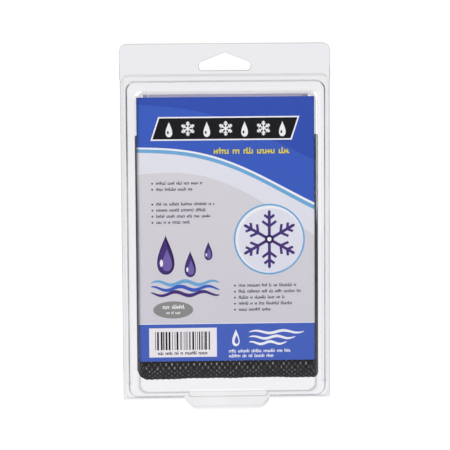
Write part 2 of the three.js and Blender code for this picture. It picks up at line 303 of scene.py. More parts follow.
def knit_material(name, pit, loop, highlight_and_thread, stitch_rows=(), edge=None):
    """Coarse knit: dark pits, brighter loops, a light dash on each as a painted highlight, and rows of sewing
    thread.

    At a side or bottom edge the knit runs on round the rim to a seam in the middle, sewn on both sides."""
    s = Shader(name)
    x, y, z = s.axes()
    off_seam = s.math("ABSOLUTE", s.math("SUBTRACT", y, COVER_MIDDLE))
    turned = s.math("SUBTRACT", COVER_HALF_DEPTH, off_seam)
    sideways = s.math("ADD", s.math("ABSOLUTE", x), turned) if edge == SIDE else x
    upwards = s.math("SUBTRACT", z, turned) if edge == BOTTOM else z
    drift = s.between(s.noise(150, 2.0), -KNIT_DRIFT, KNIT_DRIFT)
    loops_across = s.math("DIVIDE", s.math("ADD", sideways, drift), KNIT_PITCH * MM)
    rows_up = s.math("DIVIDE", s.math("ADD", upwards, drift), KNIT_ROW * MM)
    turn = s.math("COSINE", s.math("MULTIPLY", loops_across, 2 * math.pi))
    climb = s.math("COSINE", s.math("MULTIPLY", rows_up, math.pi))
    product = s.math("MULTIPLY", turn, climb)
    height = s.between(product, 0.0, 1.0, -1.0, 1.0)
    narrow = s.between(s.math("ABSOLUTE", turn), 0.0, 1.0, 0.78, 0.98, "SMOOTHSTEP")
    tall = s.between(product, 0.0, 1.0, 0.3, 0.65, "SMOOTHSTEP")
    patchy = s.between(s.noise(260, 3.0), 0.0, 1.0, 0.4, 0.62)
    thread = s.noise(1400, 2.0, (1, 1, 0.25))
    # painted highlight: a light dash on the top of each loop
    highlight_dash = s.math("MULTIPLY", s.math("MULTIPLY", narrow, tall), patchy)
    shade = s.blend(height, pit, loop)
    shade = s.blend(highlight_dash, shade, highlight_and_thread)
    shade = s.blend(s.between(thread, 0.0, 0.35), shade, pit)
    # painted light from below: lighter towards the cover's bottom edge
    shade = s.blend(s.along(z, PAINTED_LIGHT_FROM_BELOW), shade, highlight_and_thread)
    relief = s.bump(s.noise(55, 2.0), 0.0025, 0.5)
    relief = s.bump(height, 0.0004, 0.5, relief)
    relief = s.bump(thread, 0.0002, 0.6, relief)
    sewn = [s.stitches(s.math("SUBTRACT", z, level), x, *HEM_THREAD) for level in stitch_rows]
    if edge:
        groove = s.between(off_seam, 0.0, 1.0, 0.0001, 0.0006, "SMOOTHSTEP")
        shade = s.blend(groove, pit, shade)
        relief = s.bump(groove, 0.0005, 0.8, relief)
        beside = s.math("SUBTRACT", off_seam, SEAM_THREAD_OFF)
        sewn.append(s.stitches(beside, z if edge == SIDE else x, *SEAM_THREAD))
    for row in sewn:
        shade = s.blend(row, shade, highlight_and_thread)
        relief = s.bump(row, 0.0003, 0.8, relief)
    return s.surface({
        "Base Color": shade, "Roughness": s.between(thread, 0.7, 0.95), "Normal": relief,
        "Specular IOR Level": 0.25, "Sheen Weight": 0.05, "Sheen Roughness": 0.5,
    })


def cloth_material(name, colour, darker, pitch, stitch_rows=()):
    """Fine plain weave, with thread bumps, slubs, slow changes of shade and rows of sewing thread."""
    s = Shader(name)
    x, _, z = s.axes()
    turn = 2 * math.pi / (pitch * MM)
    warp = s.math("SINE", s.math("MULTIPLY", x, turn))
    weft = s.math("SINE", s.math("MULTIPLY", z, turn))
    weave = s.between(s.math("MULTIPLY", warp, weft), 0.0, 1.0, -1.0, 1.0)
    slub = s.noise(300, 4.0, (0.12, 1, 1))
    slow = s.noise(45, 3.0)
    shade = s.blend(s.between(weave, 0.0, 0.5), colour, darker)
    shade = s.blend(s.math("MULTIPLY", s.between(slub, 0.0, 0.6), slow), shade, darker)
    relief = s.bump(weave, 0.00012, 0.7, s.bump(slow, 0.0015, 0.5))
    for level in stitch_rows:
        row = s.stitches(s.math("SUBTRACT", z, level), x, *POUCH_THREAD)
        shade = s.blend(row, shade, colour)
        relief = s.bump(row, 0.0003, 0.8, relief)
    return s.surface({
        "Base Color": shade, "Roughness": s.between(slub, 0.65, 0.9), "Normal": relief,
        "Specular IOR Level": 0.3, "Sheen Weight": 0.15, "Sheen Roughness": 0.4,
    })


def wadding_material():
    """Off-white absorbent wadding with a felted surface."""
    s = Shader("absorbent_core")
    felt = s.noise(700, 6.0)
    clumps = s.noise(110, 3.0)
    shade = s.blend(clumps, srgb(238, 235, 226), srgb(221, 217, 205))
    return s.surface({
        "Base Color": shade, "Roughness": s.between(felt, 0.85, 1.0),
        "Normal": s.bump(felt, 0.0003, 0.8, s.bump(clumps, 0.001, 0.5)),
        "Specular IOR Level": 0.1, "Sheen Weight": 0.2,
    })


def print_material(name, upper, lower):
    """Ink under a thin gloss coat, from one colour at the card's top to another at its bottom."""
    s = Shader(name)
    rise = s.between(s.axes()[2], 0.0, 1.0, CARD_LOW.z * MM, CARD_HIGH.z * MM)
    drift = s.math("ADD", rise, s.between(s.noise(22, 2.0), -0.18, 0.18))
    clamped = s.node("ShaderNodeClamp", {"Value": drift}).outputs[0]
    screen = s.noise(1800, 2.0)
    shade = s.blend(clamped, srgb(*lower), srgb(*upper))
    shade = s.blend(s.between(screen, 0.0, 0.12), shade, srgb(*(c * 0.85 for c in upper)))
    return s.surface({
        "Base Color": shade, "Roughness": s.between(screen, 0.28, 0.42),
        "Normal": s.bump(s.noise(60, 2.0), 0.0004, 0.2),
        "Specular IOR Level": 0.2, "Coat Weight": 0.1, "Coat Roughness": 0.15,
    })


PLAIN, SOFT, RIM, BASE_LINE, SHOULDER, FACE_LINE, FACE_EDGE, CUT, FOOT, FOLD = range(10)
# The levels in these looks are painted shade: bands darker at set heights that stand in for the dark lines at
# the rim, the base line, the face's edge, the cut edges and the foot.
SHELL_LOOKS = [
    clear_sheet("clear_sheet", 0.6),
    clear_sheet("clear_sheet_soft", 0.88),
    clear_sheet("clear_sheet_rim", 0.86, [(RIM_TOP - 6, 1), (RIM_TOP - 1, 0.87)]),
    clear_sheet("clear_sheet_base_line", 0.45, [
        (BASE_BOTTOM, 0.72), (BASE_BOTTOM + 6, 0.55), (-100, 0.58), (-55, 0.4), (BASE_TOP - 6, 0.24),
        (BASE_TOP - 2, 0.36), (BASE_TOP - 0.5, 0.8)], edge_start=0.7),
    clear_sheet("clear_sheet_shoulder", 0.6, gloss=(0.15, 0.04)),
    clear_sheet("clear_sheet_face_line", 0.6, [
        (FACE_BOTTOM, 0.74), (FACE_BOTTOM + 2, 0.8), (FACE_BOTTOM + 6, 0.96), (FACE_TOP - 6, 0.94),
        (FACE_TOP - 4, 0.76), (FACE_TOP, 0.74)]),
    clear_sheet("clear_sheet_face_edge", 0.6, [
        (FACE_BOTTOM, 0.7), (FACE_BOTTOM + 6, 0.66), (FACE_TOP - 6, 0.66), (FACE_TOP - 4, 0.9)]),
    clear_sheet("clear_sheet_cut_edge", 0.6, [
        (RIM_BOTTOM, 0.84), (RIM_BOTTOM + 2, 0.7), (-100, 0.5), (-HOLE_HEIGHT, 0.48),
        (-HOLE_SHOULDER_DROP, 0.78), (0, 0.78), (TAB_TOP, 0.6)], edge_start=0.7),
    clear_sheet("clear_sheet_foot", 0.98, [
        (FOOT_TIP + 1, 1), (FOOT_TIP + 2, 0.94), (FACE_BOTTOM, 0.94)], gloss=(0.015, 0.015)),
    clear_sheet("clear_sheet_fold", 0.95, edge_start=0.8),
]
HEM_STITCHES = [corners_of("cover_front_hem")[0].z * MM + 0.0013]
POUCH_STITCHES = [corners_of("pouch_front_hem")[0].z * MM + 0.0011]
# The last colour of each knit is its painted highlight and also the colour of its sewing thread.
KNIT = knit_material("mesh_knit", srgb(20, 20, 22), srgb(66, 65, 67), srgb(200, 197, 194))
KNIT_HEM, KNIT_SIDE, KNIT_BOTTOM = (
    knit_material(name, srgb(22, 22, 25), srgb(68, 68, 72), srgb(150, 150, 152), HEM_STITCHES, edge)
    for name, edge in (("mesh_hem", None), ("mesh_side", SIDE), ("mesh_bottom", BOTTOM)))
POUCH_CLOTH = cloth_material("pouch_cloth", srgb(168, 165, 184), srgb(120, 116, 146), 0.45)
POUCH_EDGE = cloth_material("pouch_edge", srgb(174, 171, 190), srgb(118, 114, 146), 0.6, POUCH_STITCHES)
WADDING = wadding_material()
PRINT_COLOURS = {
    "board": ((240, 240, 238), (236, 236, 234)),
    "field": ((226, 222, 224), (217, 214, 222)),
    "glow": ((238, 238, 244), (228, 229, 241)),
    "header": ((62, 97, 196), (58, 93, 194)),
    "deep": ((52, 84, 182), (50, 82, 178)),
    "sky": ((120, 180, 224), (110, 172, 218)),
    "light": ((250, 250, 252), (248, 248, 252)),
    "ink": ((20, 21, 25), (18, 18, 24)),
    "accent": ((230, 216, 60), (222, 206, 54)),
    "violet": ((58, 34, 100), (44, 24, 78)),
    "plum": ((82, 58, 134), (70, 46, 118)),
    "lilac": ((128, 110, 180), (112, 94, 166)),
    "text": ((66, 66, 82), (60, 60, 80)),
    "badge": ((152, 152, 147), (144, 144, 140)),
    "band": ((78, 108, 198), (72, 102, 194)),
    "label": ((250, 246, 247), (248, 244, 246)),
}
PRINTS = {ink: print_material(f"print_{ink}", *colours) for ink, colours in PRINT_COLOURS.items()}


# Meshes


def in_scene(name, data):
    """A new object in the scene."""
    made = bpy.data.objects.new(name, data)
    bpy.context.scene.collection.objects.link(made)
    return made


def solid(name, points, faces, looks=None):
    """A closed mesh object from points in millimetres, with a clear look for each face if looks are given."""
    mesh = bpy.data.meshes.new(name)
    mesh.from_pydata(points, [], faces)
    if looks:
        for material in SHELL_LOOKS:
            mesh.materials.append(material)
        mesh.polygons.foreach_set("material_index", looks)
    work = bmesh.new()
    work.from_mesh(mesh)
    bmesh.ops.recalc_face_normals(work, faces=work.faces)
    work.to_mesh(mesh)
    work.free()
    return in_scene(name, mesh)


def settle(piece):
    """Applies a piece's modifiers."""
    depsgraph = bpy.context.evaluated_depsgraph_get()
    mesh = bpy.data.meshes.new_from_object(piece.evaluated_get(depsgraph))
    piece.modifiers.clear()
    piece.data = mesh
    return piece


def combine(target, tool, operation):
    """Joins tool to target or cuts it out of it, and deletes tool."""
    modifier = target.modifiers.new("combine", "BOOLEAN")
    modifier.operation = operation
    modifier.solver = "EXACT"
    modifier.object = tool
    settle(target)
    bpy.data.objects.remove(tool)
    return target


def smooth(piece, angle=SHARP_ANGLE):
    """Shades a piece smooth, but for edges sharper than angle, with flat faces kept flat."""
    piece.data.shade_smooth()
    piece.data.set_sharp_from_angle(angle=math.radians(angle))
    modifier = piece.modifiers.new("flats", "WEIGHTED_NORMAL")
    modifier.keep_sharp = True
    return settle(piece)


def rounded(corners, closed):
    """Points along a line through (a, b, radius) corners, each corner rounded, with the line's way there.

    A way has length 1, but at a sharp corner it is longer, so that it mitres an offset."""
    places = [complex(a, b) for a, b, _ in corners]
    count = len(corners)
    run = []
    for index, (here, corner) in enumerate(zip(places, corners)):
        before = places[index - 1] if closed or index > 0 else 2 * here - places[1]
        after = places[(index + 1) % count] if closed or index < count - 1 else 2 * here - before
        come = (here - before) / abs(here - before)
        go = (after - here) / abs(after - here)
        turn = cmath.phase(go / come)
        radius = corner[2]
        if radius == 0:
            run.append((here, (come + go) / (1 + math.cos(turn))))
            continue
        start = here - come * radius * math.tan(abs(turn) / 2)
        centre = start + come * 1j * math.copysign(radius, turn)
        for step in range(ROUND_STEPS + 1):
            swing = cmath.exp(1j * turn * step / ROUND_STEPS)
            run.append((centre + (start - centre) * swing, come * swing))
    return run


def outline(corners, grow=0):
    """The points of a closed outline in X and Z, moved outwards by grow. Corners run anticlockwise."""
    moved = [point - 1j * way * grow for point, way in rounded(corners, True)]
    return [(point.real, point.imag) for point in moved]


def rounded_rectangle(half, top, bottom, corner):
    """A rounded rectangle's points in X and Z, with a support point beside each corner."""
    across, high, low = half - corner, top - corner, bottom + corner
    turns = [cmath.exp(1j * math.pi / 2 * step / CORNER_STEPS) for step in range(CORNER_STEPS + 1)]
    points = []
    for quarter, (x, z) in enumerate(((across, high), (-across, high), (-across, low), (across, low))):
        turn = cmath.exp(1j * quarter * math.pi / 2)
        arc = [turn * small_turn * corner for small_turn in turns]
        run = [turn * complex(corner, -SUPPORT), *arc, turn * complex(-SUPPORT, corner)]
        points += [(x + p.real, z + p.imag) for p in run]
    return points


def loft(name, rings, looks=None, cap=PLAIN):
    """A closed solid through rings of points that are listed alike, with looks for its bands and caps."""
    count = len(rings[0])
    faces = [list(range(count)), [(len(rings) - 1) * count + i for i in range(count)]]
    face_looks = [cap, cap]
    for ring in range(len(rings) - 1):
        here, there = ring * count, (ring + 1) * count
        for i in range(count):
            j = (i + 1) % count
            faces.append([here + i, here + j, there + j, there + i])
            face_looks.append(looks[ring] if looks else PLAIN)
    points = [point for ring in rings for point in ring]
    return solid(name, points, faces, face_looks if looks else None)


def prism(name, levels, looks=None, cap=PLAIN):
    """A solid through outlines in X and Z that are given as (y, points)."""
    return loft(name, [[(x, y, z) for x, z in points] for y, points in levels], looks, cap)


def block(name, low, high):
    """A box between two corners."""
    points = [(low[0], low[2]), (high[0], low[2]), (high[0], high[2]), (low[0], high[2])]
    return prism(name, [(high[1], points), (low[1], points)])


# The clear case


def rim_ring(inset, depth):
    """The rim drawn in by inset, at a depth in front of the seam plane."""
    corner = RIM_CORNER - max(0, inset - RIM_DRAFT)
    points = rounded_rectangle(RIM_HALF - inset, RIM_TOP - inset, RIM_BOTTOM + inset, corner)
    return [(x, -depth, z) for x, z in points]


def blister_ring(inset, depth):
    """The blister's base line drawn in by inset, at a depth in front of the seam plane."""
    share = inset / WALL_INSET
    corner = BASE_CORNER + (FACE_CORNER - BASE_CORNER) * share if inset > 0 else BASE_CORNER - inset
    bottom = BASE_BOTTOM + (share * BOTTOM_INSET if inset > 0 else inset)
    points = rounded_rectangle(BASE_HALF - inset, BASE_TOP - inset, bottom, corner)
    return [(x, -depth, z) for x, z in points]


RIM_LOOKS = [RIM] * 8 + [PLAIN]
BLISTER_LOOKS = [PLAIN] + [BASE_LINE] * 10 + [PLAIN] * 6 + [SHOULDER] * 4 + [FACE_LINE]


def case_front(name, inside):
    """The front half's raised form, or the hollow behind it, one sheet's thickness inside."""
    rim = rounded([
        (0, SEAM, 0),
        (RIM_DRAFT, RIM_OUT, RIM_ROUND),
        (RIM_DRAFT + RIM_ROUND, RIM_OUT, 0),
    ], False)
    blister = rounded([
        (-BASE_ROUND - HAIR, RIM_OUT, 0),
        (0, RIM_OUT, BASE_ROUND),
        (WALL_BEND_INSET, WALL_BEND_DEPTH, WALL_BEND_ROUND),
        (WALL_INSET, FACE_OUT, SHOULDER_ROUND),
        (WALL_INSET + FACE_STEP, FACE_OUT, 0),
    ], False)
    rings = []
    for profile, ring in ((rim, rim_ring), (blister, blister_ring)):
        for point, way in profile:
            inset, depth = point.real, point.imag
            if inside:
                inset += SHEET * way.imag
                depth -= SHEET * way.real
            rings.append(ring(inset, depth))
    if inside:
        rings.insert(0, [(x, OVERRUN, z) for x, _, z in rings[0]])
        return loft(name, rings, [SOFT] * (len(rings) - 4) + [FACE_EDGE, FACE_EDGE, PLAIN])
    return loft(name, rings, RIM_LOOKS + BLISTER_LOOKS)


def mirrored(right):
    """The (x, z, radius) corners of a symmetric outline from those of its right half, in rising order."""
    return right + [(-x, z, radius) for x, z, radius in reversed(right)]


def half_sheet(name, side):
    """One half's flat sheet: the hang tab above and the body down to the hinge, in front for side -1."""
    corners = mirrored([
        (BODY_HALF, FLANGE_BOTTOM, 0),
        (BODY_HALF, -TAB_STEP_DROP - TAB_STEP, 0),
        (TAB_HALF, -TAB_STEP_DROP, 0),
        (TAB_HALF, TAB_TOP, TAB_CORNER),
    ])
    levels = [
        (side * SEAM, outline(corners)),
        (side * (SEAM + SHEET - CUT_BEVEL), outline(corners)),
        (side * (SEAM + SHEET), outline(corners, -CUT_BEVEL)),
    ]
    return prism(name, levels, [CUT, CUT])


def cut_hang_hole(half, side):
    """Cuts the hang hole: a flat bottom with round corners under two slopes."""
    shoulder = (HOLE_HALF, -HOLE_SHOULDER_DROP, HOLE_CORNER)
    bottom = (HOLE_HALF, -HOLE_HEIGHT, HOLE_CORNER)
    left = [(-x, z, radius) for x, z, radius in (shoulder, bottom)]
    corners = [(0, 0, HOLE_APEX_RADIUS), *left, bottom, shoulder]
    outside = SEAM + SHEET
    levels = [
        (-side * (outside + OVERRUN), outline(corners)),
        (side * (outside - CUT_BEVEL), outline(corners)),
        (side * (outside + CUT_BEVEL), outline(corners, 2 * CUT_BEVEL)),
        (side * (outside + OVERRUN), outline(corners, 2 * CUT_BEVEL)),
    ]
    return combine(half, prism("hole", levels, [CUT, CUT, CUT]), "DIFFERENCE")


def foot_points(grow):
    """The foot's outline in X and Z, grown on every side but its root in the blister."""
    return outline(mirrored([
        (FOOT_TIP_HALF + grow, FOOT_TIP - grow, FOOT_CORNER),
        (FOOT_KNEE_HALF + grow, HINGE_Z + FOOT_KNEE_RISE - grow, FOOT_CORNER),
        (FOOT_HALF + grow, FACE_BOTTOM, 0),
        (FOOT_HALF + grow, FACE_BOTTOM + SHOULDER_ROUND, 0),
    ]))


def foot_face_points(grow):
    """The outline of the blister's face where it runs on down over the foot, grown but at its top."""
    return outline(mirrored([
        (FOOT_FACE_HALF + grow, FACE_BOTTOM - FOOT_FACE_DROP - grow, FOOT_CORNER),
        (FOOT_FACE_HALF + grow, FACE_BOTTOM + SHOULDER_ROUND, 0),
    ]))


FOOT_FORMS = (
    (foot_points, FACE_OUT - FOOT_SETBACK, FOOT_ROUND, FOOT),
    (foot_face_points, FACE_OUT, FOOT_FACE_ROUND, FACE_LINE),
)


def foot(name, points, front, rounding, edge_look, inside, back):
    """A form of the foot, or its hollow, with its front edges rounded."""
    slope = FOOT_DRAFT / (FACE_OUT - SEAM)
    outlines = [(back, points(slope * (FACE_OUT + back) - SHEET * inside))]
    for angle in ROUND_ANGLES:
        depth = front - rounding * (1 - math.sin(angle))
        inset = rounding * (1 - math.cos(angle))
        grow = slope * (FACE_OUT - depth) - inset - SHEET * inside * math.cos(angle)
        outlines.append((SHEET * inside * math.sin(angle) - depth, points(grow)))
    return prism(name, outlines, [FOOT] + [edge_look] * (len(outlines) - 2), FOOT)


def front_shell():
    """The front half: tab layer, rim, blister and foot, all from one sheet."""
    shell = half_sheet("clear_front_half", -1)
    combine(shell, case_front("raised", False), "UNION")
    for form in FOOT_FORMS:
        combine(shell, foot("foot", *form, 0, -SEAM), "UNION")
    combine(shell, case_front("hollow", True), "DIFFERENCE")
    for form in FOOT_FORMS:
        combine(shell, foot("foot_hollow", *form, 1, OVERRUN), "DIFFERENCE")
    return cut_hang_hole(shell, -1)


def ridge(name, inset):
    """The ridge that the rim grips, or the groove behind it when inset is the sheet's thickness."""
    gap = SHEET + FIT
    crest = RIM_OUT - gap - inset
    back = -SEAM - SHEET - (OVERRUN if inset else 0)
    outer_half = CREST_HALF - gap - inset
    inner_half = CREST_HALF - gap - RIDGE_WIDTH + inset
    top = CREST_TOP - gap - inset
    inner_top = CREST_TOP - gap - RIDGE_WIDTH + inset
    corner = RIM_CORNER - gap - inset
    rounding = RIDGE_ROUND - inset
    bend = [(rounding * (1 - math.cos(a)), crest - rounding * (1 - math.sin(a))) for a in ROUND_ANGLES]
    outer = [(-RIM_DRAFT, back), *bend]
    inner = [(0, back - OVERRUN), *bend, (rounding, crest + OVERRUN)]
    outer_levels = []
    for shift, depth in outer:
        points = rounded_rectangle(outer_half - shift, top - shift, RIM_BOTTOM, corner)
        outer_levels.append((-depth, points))
    inner_levels = []
    for shift, depth in inner:
        inner_corner = RIDGE_INNER_CORNER + inset + shift
        points = rounded_rectangle(inner_half + shift, inner_top + shift, RIM_BOTTOM - OVERRUN, inner_corner)
        inner_levels.append((-depth, points))
    form = prism(name, outer_levels, [SOFT] * (len(outer) - 1))
    combine(form, prism("inside", inner_levels, [SOFT] * (len(inner) - 1)), "DIFFERENCE")
    below_low = (-TAB_HALF, -crest - OVERRUN, RIM_BOTTOM - 2 * OVERRUN)
    below_high = (TAB_HALF, 2 * OVERRUN - back, BASE_BOTTOM + RIDGE_END + inset)
    return combine(form, block("below", below_low, below_high), "DIFFERENCE")


def back_shell():
    """The back half: tab layer and flat back, with the ridge pressed forwards from the same sheet."""
    shell = half_sheet("clear_back_half", 1)
    combine(shell, ridge("ridge", 0), "UNION")
    combine(shell, ridge("groove", SHEET), "DIFFERENCE")
    notch = [(x, 2 * HINGE_Z - z) for x, z in foot_points(FOOT_DRAFT + NOTCH_ROOM)]
    reach = SEAM + SHEET + OVERRUN
    combine(shell, prism("notch", [(reach, notch), (-reach, notch)], [SOFT]), "DIFFERENCE")
    return cut_hang_hole(shell, 1)


HINGE_THICKNESS = 0.3
HINGE_STEPS = 12
HINGE_RINGS = 9


def hinge_strip(name, node):
    """One length of the living hinge: a thin strip of the sheet that is folded round the axis."""
    low, high = corners_of(node)
    radii = (HINGE_RADIUS + HINGE_THICKNESS / 2, HINGE_RADIUS - HINGE_THICKNESS / 2)
    rings = []
    turns = [math.pi * step / HINGE_STEPS for step in range(HINGE_STEPS + 1)]
    for x in np.linspace(low.x, high.x, HINGE_RINGS):
        run = []
        for radius, way in zip(radii, (1, -1)):
            run.append((x, way * radius, FLANGE_BOTTOM))
            run += [(x, radius * math.cos(turn), HINGE_Z - radius * math.sin(turn)) for turn in turns[::way]]
            run.append((x, -way * radius, FLANGE_BOTTOM))
        rings.append(run)
    return loft(name, rings, [FOLD] * (len(rings) - 1))


# The sewn wallet

PUCKER_PLACE = 0.6
PUCKER_REACH = 0.7
SOFT_WAVES = 0.12
LEAST_HALF_DEPTH = 0.05
LEAST_POCKET_SHARE = 0.12


class Bag:
    """The form of a sewn bag: two walls that meet at the sides and the bottom and are open at the top."""

    def __init__(self, prefix, margin, edge, wall, corners, puckers, spread=(0, 0, 0), sag=()):
        """Takes its size from the CAD node of its bottom seam, and spreads it left, right and down."""
        self.low, self.high = corners_of(f"{prefix}_bottom_seam")
        self.halves = (self.high.x + spread[0], self.high.x + spread[1])
        self.foot = self.low.z - spread[2]
        self.sag = sag
        self.middle = (self.low.y + self.high.y) / 2
        self.full = (self.high.y - self.low.y) / 2
        self.margin, self.edge, self.wall = margin, edge, wall
        self.corners = corners
        self.puckers = puckers

    def half(self, x):
        """The half width on the side where x is."""
        return np.where(x < 0, *self.halves)

    def corner(self, x):
        """The bottom corner's radius on the side where x is."""
        return np.where(x < 0, *self.corners)

    def lowest(self, x):
        """The height of the sagging bottom line at a place along X, without the corners."""
        return self.foot - sum(size * (1 + np.sin(x / length + phase)) for size, length, phase in self.sag)

    def inwards(self, x, z):
        """How far a place is inside the bag's outline."""
        radius = self.corner(x)
        across = np.abs(x) - (self.half(x) - radius)
        down = self.lowest(x) + radius - z
        in_corner = (across > 0) & (down > 0)
        straight = np.minimum(self.half(x) - np.abs(x), z - self.lowest(x))
        return np.maximum(np.where(in_corner, radius - np.hypot(across, down), straight), 0)

    def side(self, z, sign):
        """Where the outline is at a height, on the left or the right."""
        radius, half = self.corner(sign), self.half(sign)
        down = np.clip(self.lowest(sign * half) + radius - z, 0, radius)
        return sign * (half - radius + np.sqrt(radius**2 - down**2))

    def bottom(self, x):
        """How low the outline is at a place along X."""
        radius = self.corner(x)
        across = np.clip(np.abs(x) - (self.half(x) - radius), 0, radius)
        return self.lowest(x) + radius - np.sqrt(radius**2 - across**2)

    def outside(self, x, z):
        """The half depth of the bag's outer surface."""
        inwards = self.inwards(x, z)
        swell = quarter_round(inwards / self.margin)
        roll = quarter_round(inwards / self.edge)
        along = np.where(self.half(x) - np.abs(x) < z - self.foot, z, x)
        ripple = sum(size * np.sin(along / length + phase) for size, length, phase in self.puckers)
        near = np.exp(-((inwards - self.margin * PUCKER_PLACE) / (self.margin * PUCKER_REACH)) ** 2)
        soft = SOFT_WAVES * (np.sin(x / 11 + 0.4) * np.sin(z / 17) - 1)
        depth = self.edge * roll + (self.full - self.edge) * swell
        waves = near * (ripple - sum(pucker[0] for pucker in self.puckers))
        return np.maximum(depth + (waves + soft) * swell, LEAST_HALF_DEPTH)

    def inside(self, x, z):
        """The half depth of the bag's pocket."""
        outer = self.outside(x, z)
        return np.maximum(outer - self.wall, outer * LEAST_POCKET_SHARE)


def quarter_round(share):
    """Rises from 0 to 1 along a quarter of a circle."""
    return np.sqrt(1 - (1 - np.clip(share, 0, 1)) ** 2)


def grid_solid(name, x, z, outer, inner, stride=1):
    """A closed piece between two surfaces over one grid; the inner one takes every stride-th point."""
    rows, columns = x.shape
    fine = np.stack([x, outer, z], -1).reshape(-1, 3)
    coarse = np.stack([x, inner, z], -1)[::stride, ::stride]
    few_rows, few_columns = coarse.shape[:2]
    points = np.concatenate([fine, coarse.reshape(-1, 3)])
    fine_at = np.arange(rows * columns).reshape(rows, columns)
    coarse_at = np.arange(few_rows * few_columns).reshape(few_rows, few_columns) + rows * columns
    faces = []
    for at in (fine_at, coarse_at):
        quads = np.stack([at[:-1, :-1], at[:-1, 1:], at[1:, 1:], at[1:, :-1]], -1)
        faces += quads.reshape(-1, 4).tolist()
    borders = [
        (fine_at[0], coarse_at[0]), (fine_at[-1], coarse_at[-1]),
        (fine_at[:, 0], coarse_at[:, 0]), (fine_at[:, -1], coarse_at[:, -1]),
    ]
    for fine_edge, coarse_edge in borders:
        for k in range(len(coarse_edge) - 1):
            run = fine_edge[k * stride:(k + 1) * stride + 1].tolist()
            faces.append([*run, int(coarse_edge[k + 1]), int(coarse_edge[k])])
    return solid(name, points.tolist(), faces)


KNIT_RELIEF = 0.3
KNIT_RIB = 0.3
KNIT_STRIDE = 3
HEM_RELIEF = 0.15
HEM_STEP = 0.8
SERRATION = 0.35
FOLD_STEPS = 5
EDGE_SHARES = np.sin(np.linspace(0, np.pi / 2, 13))


def knit(x, z):
    """The height of the coarse knit, from 0 in its pits to 1 on its loops, staggered from row to row."""
    row = z / KNIT_ROW
    loop = np.cos(2 * np.pi * x / KNIT_PITCH) * np.cos(np.pi * row)
    rib = np.cos(2 * np.pi * row) * KNIT_RIB
    return np.clip(0.5 + 0.5 * loop + rib * 0.5, 0, 1)


def spread(start, end, step, multiple=1):
    """Evenly spaced values about step apart, in a whole multiple of steps."""
    count = max(1, round(abs(end - start) / step / multiple)) * multiple
    return np.linspace(start, end, count + 1)


def fold_rows(low, high, step, half_thickness):
    """Heights up a hem that crowd where its folded edges turn over."""
    turn = half_thickness * (1 - np.cos(np.linspace(0, np.pi / 2, FOLD_STEPS)))
    straight = spread(low + turn[-1], high - turn[-1], step)[1:-1]
    return np.concatenate([low + turn, straight, (high - turn)[::-1]])


def wall(bag, name, node, shares, relief=0, step=1.6, stride=1, folded=False, overlap=0):
    """A layer of a bag's wall. Shares say where it starts and ends in the wall, from the outside in."""
    low, high = corners_of(node)
    sign = -1 if (low.y + high.y) / 2 < bag.middle else 1
    columns = spread(low.x - overlap, high.x + overlap, step, stride)
    if folded:
        rows = fold_rows(low.z, high.z, step, (high.y - low.y) / 2)
    else:
        rows = spread(low.z - overlap, high.z + overlap, step, stride)
    x, z = np.meshgrid(columns, rows)
    full, pocket = bag.outside(x, z), bag.inside(x, z)
    outer = full - shares[0] * (full - pocket)
    inner = full - shares[1] * (full - pocket)
    if folded:
        middle, half = (outer + inner) / 2, (outer - inner) / 2
        turn = quarter_round(np.minimum(z - low.z, high.z - z) / half)
        outer, inner = middle + half * turn, middle - half * turn
    if relief:
        outer = outer - relief * (1 - knit(x, z))
    return grid_solid(name, x, z, bag.middle + sign * outer, bag.middle + sign * inner, stride)


def side_edge(bag, name, node, sign, step=1.6):
    """The sewn edge up one side of a bag, from its wall out to a rolled edge."""
    low, high = corners_of(node)
    start = low.x if sign > 0 else high.x
    share, z = np.meshgrid(EDGE_SHARES, spread(low.z - FIT, high.z, step))
    x = start + (bag.side(z, sign) - start) * share
    half = bag.outside(x, z)
    return grid_solid(name, x, z, bag.middle - half, bag.middle + half)


def bottom_edge(bag, name, node, serration, step=0.8):
    """The sewn edge along a bag's bottom, from its wall down to a rolled edge."""
    high = corners_of(node)[1]
    share, x = np.meshgrid(EDGE_SHARES, spread(HAIR - bag.halves[0], bag.halves[1] - HAIR, step))
    z = high.z + (bag.bottom(x) - high.z) * share
    half = bag.outside(x, z)
    z = z + serration * share**2 * (0.5 + 0.5 * np.cos(2 * np.pi * x / KNIT_PITCH))
    return grid_solid(name, x, z, bag.middle - half, bag.middle + half)


# The printed card


CARD_WIDTH = CARD_HIGH.x - CARD_LOW.x
CARD_HEIGHT = CARD_HIGH.z - CARD_LOW.z
CURVE_STEPS = 40
CARD_SWEEPS = (
    ("glow", 44, 74, 10),
    ("sky", 31.5, 61, 7),
    ("light", 29.5, 58.5, 7),
    ("header", 28.5, 57, 7),
    ("deep", 4, 33, 6),
)
BANNER = ((9, 12), (88, 12), (92, 24), (13, 24))
BANNER_BORDER = ((-1.1, -0.8), (0.6, -0.8), (1.1, 0.8), (-0.6, 0.8))
BANNER_DROP = 36
LINE_PITCH = 3.5
BAND_HEIGHT = 21.6
INSIDE_TRIANGLES = 1
PRINT_MERGE = 1e-4


def bar(x, z, width, height):
    """A rectangle from its lower left corner."""
    return [(x, z), (x + width, z), (x + width, z + height), (x, z + height)]


def ellipse(x, z, half_width, half_height):
    """An ellipse round its middle."""
    turns = [2 * math.pi * i / CURVE_STEPS for i in range(CURVE_STEPS)]
    return [(x + half_width * math.cos(t), z + half_height * math.sin(t)) for t in turns]


def drop(x, z, size, turn=0.0):
    """A water drop round its middle, its point up before it is turned."""
    points = []
    for i in range(CURVE_STEPS):
        t = 2 * math.pi * i / CURVE_STEPS
        point = complex(size * 0.62 * math.sin(t) * math.sin(t / 2) ** 1.5, size * math.cos(t))
        point *= cmath.exp(1j * turn)
        points.append((x + point.real, z + point.imag))
    return points


